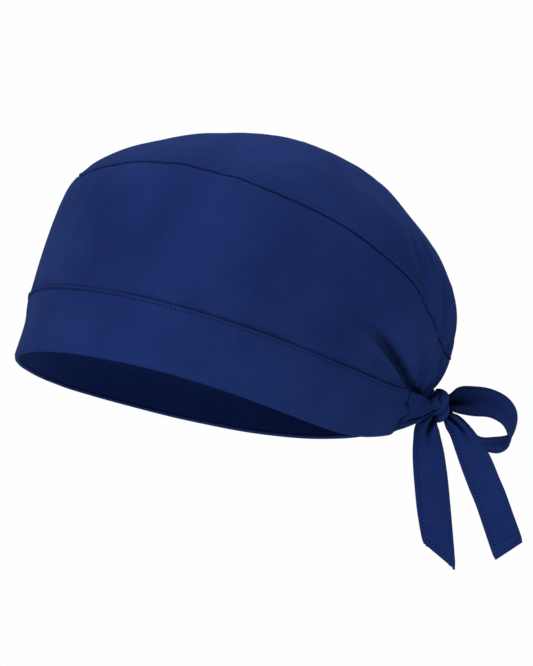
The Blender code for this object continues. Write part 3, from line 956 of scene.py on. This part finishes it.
# %% Knot
def place_roll(table):
    """Soft roll along a path in the bow's directions, in millimetres."""
    centre, out, up, away = bow_frame()
    values = np.array(table) * MM

    def place(u, v):
        at = smooth(np.arange(len(values)), values, v * (len(values) - 1))
        step = 0.01
        ahead = smooth(np.arange(len(values)), values, (v + step) * (len(values) - 1))
        behind = smooth(np.arange(len(values)), values, (v - step) * (len(values) - 1))
        axis = unit(ahead[:, :3] - behind[:, :3])
        radial = unit(at[:, :3] * np.array([1.0, 0.45, 1.0]) + 1e-6)
        radial = unit(radial - (radial * axis).sum(-1)[:, None] * axis)
        sideways = np.cross(axis, radial)
        closing = np.sin(math.pi * np.clip(0.06 + 0.88 * v, 0, 1)) ** 0.35
        closing = np.where((v < 0.001) | (v > 0.999), 0.02, closing)
        turn = 2 * math.pi * u
        wave = 1 + 0.05 * np.sin(3 * turn + 5 * v)
        wide = at[:, 3] * closing * wave
        deep = at[:, 4] * closing * wave
        local = at[:, :3] + sideways * (np.sin(turn) * wide)[:, None]
        local = local + radial * (np.cos(turn) * deep)[:, None]
        return centre + local[:, 0:1] * out + local[:, 1:2] * up + local[:, 2:3] * away
    return place


def place_core(u, v):
    """Rounded core of the knot."""
    centre, out, up, away = bow_frame()
    low = math.pi * v
    turn = 2 * math.pi * u
    local_out = np.sin(low) * np.cos(turn) * KNOT_OUT * 0.80
    local_away = np.sin(low) * np.sin(turn) * KNOT_DEEP * 0.80
    local_up = -np.cos(low) * KNOT_TALL * 0.86
    return centre + local_out[:, None] * out + local_away[:, None] * away + local_up[:, None] * up


knot_parts = [grid_piece("knot_core", 48, 32, place_core, (0.03, 0.02), joined=True)]
for number, table in enumerate(TURNS):
    name = "knot_turn_" + str(number)
    knot_parts.append(grid_piece(name, 44, 60, place_roll(table), (0.016, 0.02), joined=True))
joined_knot = bmesh.new()
for piece in knot_parts:
    joined_knot.from_mesh(piece.data)
    bpy.data.objects.remove(piece, do_unlink=True)
bmesh.ops.recalc_face_normals(joined_knot, faces=joined_knot.faces)
knot_mesh = bpy.data.meshes.new("knot_cloth")
joined_knot.to_mesh(knot_mesh)
joined_knot.free()
knot = bpy.data.objects.new("knot_cloth", knot_mesh)
scene.collection.objects.link(knot)
knot.data.materials.append(tie_cloth)
print("knot faces:", len(knot.data.polygons))

# %% [markdown]
# Stitches are short threads that lie in the channels pressed into the cloth. Each is a small
# stretched sphere, which has few faces, so hundreds of them stay light.

# %% Stitch maker
def stitches(name, lines, pitch, length, thick, paint, start=0.5):
    """One mesh of small threads along lines of (points, normals)."""
    made = bmesh.new()
    for points, normals in lines:
        steps = np.linalg.norm(np.diff(points, axis=0), axis=1)
        way = np.concatenate([[0], np.cumsum(steps)])
        count = int(way[-1] / pitch)
        for k in range(count):
            spot = (k + start) * pitch
            middle = np.array([np.interp(spot, way, points[:, i]) for i in range(3)])
            ahead = np.array([np.interp(spot + pitch / 4, way, points[:, i]) for i in range(3)])
            behind = np.array([np.interp(spot - pitch / 4, way, points[:, i]) for i in range(3)])
            up = np.array([np.interp(spot, way, normals[:, i]) for i in range(3)])
            axis = unit(ahead - behind)
            up = unit(up - up @ axis * axis)
            across = np.cross(up, axis)
            turn = np.eye(4)
            turn[:3, 0] = axis * length / 2
            turn[:3, 1] = across * thick / 2
            turn[:3, 2] = up * thick / 2
            turn[:3, 3] = middle
            bmesh.ops.create_icosphere(made, subdivisions=1, radius=1.0, matrix=Matrix(turn.tolist()))
    mesh = bpy.data.meshes.new(name)
    made.to_mesh(mesh)
    made.free()
    mesh.polygons.foreach_set("use_smooth", [True] * len(mesh.polygons))
    piece = bpy.data.objects.new(name, mesh)
    scene.collection.objects.link(piece)
    piece.data.materials.append(paint)
    return piece


def surface_line(place, u, v):
    """Points and outward normals of a piece along a line of u and v shares."""
    points = place(u, v)
    wide = place(u + 0.002, v) - place(u - 0.002, v)
    tall = place(u, v + 0.004) - place(u, v - 0.004)
    return points, unit(np.cross(wide, tall))


def cap_line(angle, row, lift):
    """Points and outward normals of a line on the cap surface."""
    out = outward(body, angle, row)
    points = body(angle, row) + out * np.asarray(lift)[..., None]
    return lean(points), lean(out)

# %% [markdown]
# One row of stitches follows the crown seam and one the band's top edge, each in its channel. The
# crown's row stops where the gathers hide it. Dark thread paints shade: dark dots for the shade in
# the needle holes, and a dark line for the shadow along the seam that joins each tie to the band's
# end.

# %% Stitches on the cap
angle = np.linspace(-150, 150, 640)
seam = along(CROWN_SEAM, angle)
row = seam + CROWN_STITCH / row_length(angle, seam)
lift = PANEL_WALL / 2 + crown_lift(angle, row, seam) + folds_from(FINE_FOLDS, angle, row)
crown_line = cap_line(angle, row, lift + 0.05 * MM)
angle = np.linspace(-BAND_END + 1, BAND_END - 1, 700)
row = BAND_TOP - BAND_STITCH / row_length(angle, 1.9 + 0 * angle)
band_line = cap_line(angle, row, BAND_PROUD + BAND_WALL / 2 + band_lift(angle, row) + 0.05 * MM)
end_rows = np.linspace(0.16, 0.97, 60)
end_lines = []
for u in (0.0115, 0.9885):
    points, out = surface_line(place_band, np.full(60, u), end_rows)
    facing = np.sign(np.sum(out[:, :2] * points[:, :2], axis=1, keepdims=True))
    end_lines.append((points, out * facing))
crown_stitches = stitches("stitches_crown", [crown_line], 2.3 * MM, 1.3 * MM, 0.50 * MM, light_thread)
cap_stitches = stitches("stitches_band", [band_line], 1.95 * MM, 1.1 * MM, 0.50 * MM, light_thread)
# Painted shade: dark dots for the needle holes, and a dark line for the shadow at each band end.
band_hole_shade = stitches("hole_shade_band", [band_line], 1.95 * MM, 0.75 * MM, 0.60 * MM, thread, 0.0)
end_seam_shadows = stitches("seam_shadows_band_ends", end_lines, 1.4 * MM, 1.5 * MM, 0.85 * MM, thread)
print("cap stitches, faces:", len(crown_stitches.data.polygons), len(cap_stitches.data.polygons))

# %% [markdown]
# The loop is stitched along both edges. The tails show their stitches on one edge and across the
# hem.

# %% Stitches on the ties
edge_share = STRAP_STITCH / TIE_WIDTH
strap_lines = []
for place, first, last, sides in (
    (place_loop, 0.06, 0.95, 2),
    (place_left, 0.14, 0.955, 1),
    (place_right, 0.12, 0.970, 1),
):
    run = np.linspace(first, last, 160)
    for share in (edge_share, 1 - edge_share)[:sides]:
        strap_lines.append(surface_line(place, run, np.full(160, share)))
hem = np.linspace(0.16, 0.86, 40)
strap_lines.append(surface_line(place_right, np.full(40, 0.945), hem))
strap_lines.append(surface_line(place_left, np.full(40, 0.970), hem))
tie_stitches = stitches("stitches_ties", strap_lines, 1.95 * MM, 1.0 * MM, 0.42 * MM, light_thread)
# Painted shade: dark dots for the needle holes along the tails.
tie_hole_shade = stitches("hole_shade_ties", strap_lines[2:], 1.95 * MM, 0.85 * MM, 0.60 * MM, thread, 0.0)
print("tie stitches, faces:", len(tie_stitches.data.polygons), len(tie_hole_shade.data.polygons))

# %% [markdown]
# The cap has no joints, so every piece rides on its one body. Each cloth piece replaces the
# imported solid that it dresses, which is hidden, and the stitches ride on the same body.

# %% Body and solids
DRESSES = (
    (crown, "crown_panel"), (side, "side_panel"), (band_piece, "band"), (tie_left, "tie_left"),
    (tie_right, "tie_right"), (knot, "knot"), (loop, "bow_loop"), (tail_left, "tail_left"),
    (tail_right, "tail_right"),
)
SEWN_ON = (
    (crown_stitches, "crown_panel"), (cap_stitches, "band"), (band_hole_shade, "band"),
    (end_seam_shadows, "band"), (tie_stitches, "bow_loop"), (tie_hole_shade, "bow_loop"),
)
for piece, node in DRESSES + SEWN_ON:
    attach(piece, "root")
for piece, node in DRESSES:
    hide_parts(node)
print("cloth and thread pieces:", len(DRESSES) + len(SEWN_ON))

# %% [markdown]
# Each cloth piece is cut from flat cloth. This cell only prints how many flat sheets there are.

# %% Sheets
print("sheets:", len(DRESSES) - 1)

# %% [markdown]
# The camera stands a little below the cap's middle, at the wearer's front left, far off and with a
# long lens, as in a studio.

# %% Camera
AZIMUTH = math.radians(67.0)
ELEVATION = math.radians(-2.0)
DISTANCE = 1.2
AIM = (0.0, -0.00572, 0.0057)
SENSOR = 36.0
PICTURE_WIDTH = 533.0
FOCAL_PIXELS = 2472.0
SHIFT_RIGHT = 55.66
SHIFT_UP = 66.96
camera_data = bpy.data.cameras.new("camera")
camera = bpy.data.objects.new("camera", camera_data)
scene.collection.objects.link(camera)
back = Vector((
    math.sin(AZIMUTH) * math.cos(ELEVATION),
    -math.cos(AZIMUTH) * math.cos(ELEVATION),
    math.sin(ELEVATION),
))
camera.location = back * DISTANCE + Vector(AIM)
camera.rotation_euler = back.to_track_quat("Z", "Y").to_euler()
camera_data.sensor_fit = "HORIZONTAL"
camera_data.sensor_width = SENSOR
camera_data.lens = SENSOR * FOCAL_PIXELS / PICTURE_WIDTH
camera_data.shift_x = SHIFT_RIGHT / PICTURE_WIDTH
camera_data.shift_y = SHIFT_UP / PICTURE_WIDTH
scene.camera = camera
print("lens in mm:", round(camera_data.lens, 1))

# %% [markdown]
# The light is soft and comes mostly from above the camera. One large lamp gives the shape, a weak
# one fills the side, and one overhead rounds the crown.

# %% Lamps
def area_light(name, where, size, power):
    """Soft square lamp aimed at the cap."""
    data = bpy.data.lights.new(name, "AREA")
    data.size = size
    data.energy = power
    lamp = bpy.data.objects.new(name, data)
    lamp.location = where
    lamp.rotation_euler = (Vector(where) - Vector((0.0, 0.0, 0.03))).to_track_quat("Z", "Y").to_euler()
    scene.collection.objects.link(lamp)


area_light("key", (1.18, -1.24, 1.05), 0.9, 14.5)
area_light("fill", (1.6, 0.3, 0.5), 1.0, 3.0)
area_light("top", (-0.1, 0.3, 1.9), 1.0, 14.0)
print("lamps:", len(bpy.data.lights))

# %% [markdown]
# A studio backdrop is lit until it is nearly white. The camera sees that white directly, while the
# cloth is lit by a softer world that is weaker behind than in front, which shades the gathers.

# %% Backdrop
BACKDROP_WHITE = (0.991, 0.991, 0.991, 1.0)


def seen_by_camera(tree, seen, other, surface):
    """Give camera rays one shader and all other rays another."""
    ray = new_node(tree, "LightPath")
    mixed = new_node(tree, "MixShader")
    tree.links.new(ray.outputs["Is Camera Ray"], mixed.inputs["Fac"])
    tree.links.new(other, mixed.inputs[1])
    tree.links.new(seen, mixed.inputs[2])
    tree.links.new(mixed.outputs["Shader"], surface)


world = bpy.data.worlds.new("studio")
scene.world = world
world.use_nodes = True
world_tree = world.node_tree
backdrop = world_tree.nodes["Background"]
backdrop.inputs["Color"].default_value = (1.0, 1.0, 1.0, 1.0)
facing = new_node(world_tree, "TexCoord")
parts = new_node(world_tree, "SeparateXYZ")
world_tree.links.new(facing.outputs["Generated"], parts.inputs["Vector"])
strength = ranged(world_tree, parts.outputs["Y"], (-1.0, 1.0), (0.64, 0.20))
world_tree.links.new(strength, backdrop.inputs["Strength"])
white = new_node(world_tree, "Background")
white.inputs["Color"].default_value = BACKDROP_WHITE
world_out = world_tree.nodes["World Output"].inputs["Surface"]
seen_by_camera(world_tree, white.outputs["Background"], backdrop.outputs["Background"], world_out)
print("world shader nodes:", len(world_tree.nodes))

# %% [markdown]
# The floor is a plain pale sheet far below the cap, which hangs free as it would on a head. The
# camera sees the backdrop's white there too, so no horizon shows.

# %% Floor
floor_shape = bmesh.new()
bmesh.ops.create_grid(floor_shape, x_segments=8, y_segments=8, size=40.0)
floor_mesh = bpy.data.meshes.new("floor")
floor_shape.to_mesh(floor_mesh)
floor_shape.free()
floor = bpy.data.objects.new("floor", floor_mesh)
floor.location = (0.0, 0.0, -0.40)
scene.collection.objects.link(floor)
floor_paint = bpy.data.materials.new("floor_pale")
floor_paint.use_nodes = True
floor_tree = floor_paint.node_tree
floor_shader = floor_tree.nodes["Principled BSDF"]
set_inputs(floor_shader, {
    "Base Color": (0.80, 0.80, 0.81, 1.0), "Roughness": 0.9, "Specular IOR Level": 0.0,
    "Emission Color": (1.0, 1.0, 1.0, 1.0), "Emission Strength": 0.14,
})
floor_white = new_node(floor_tree, "Emission")
floor_white.inputs["Color"].default_value = BACKDROP_WHITE
floor_out = floor_tree.nodes["Material Output"].inputs["Surface"]
seen_by_camera(floor_tree, floor_white.outputs["Emission"], floor_shader.outputs["BSDF"], floor_out)
floor_mesh.materials.append(floor_paint)
print("floor height in m:", floor.location.z)

# %% [markdown]
# Standard keeps the colours as they are set, with no film look over them.

# %% View
scene.view_settings.view_transform = "Standard"
scene.view_settings.look = "None"
scene.view_settings.exposure = 0.0
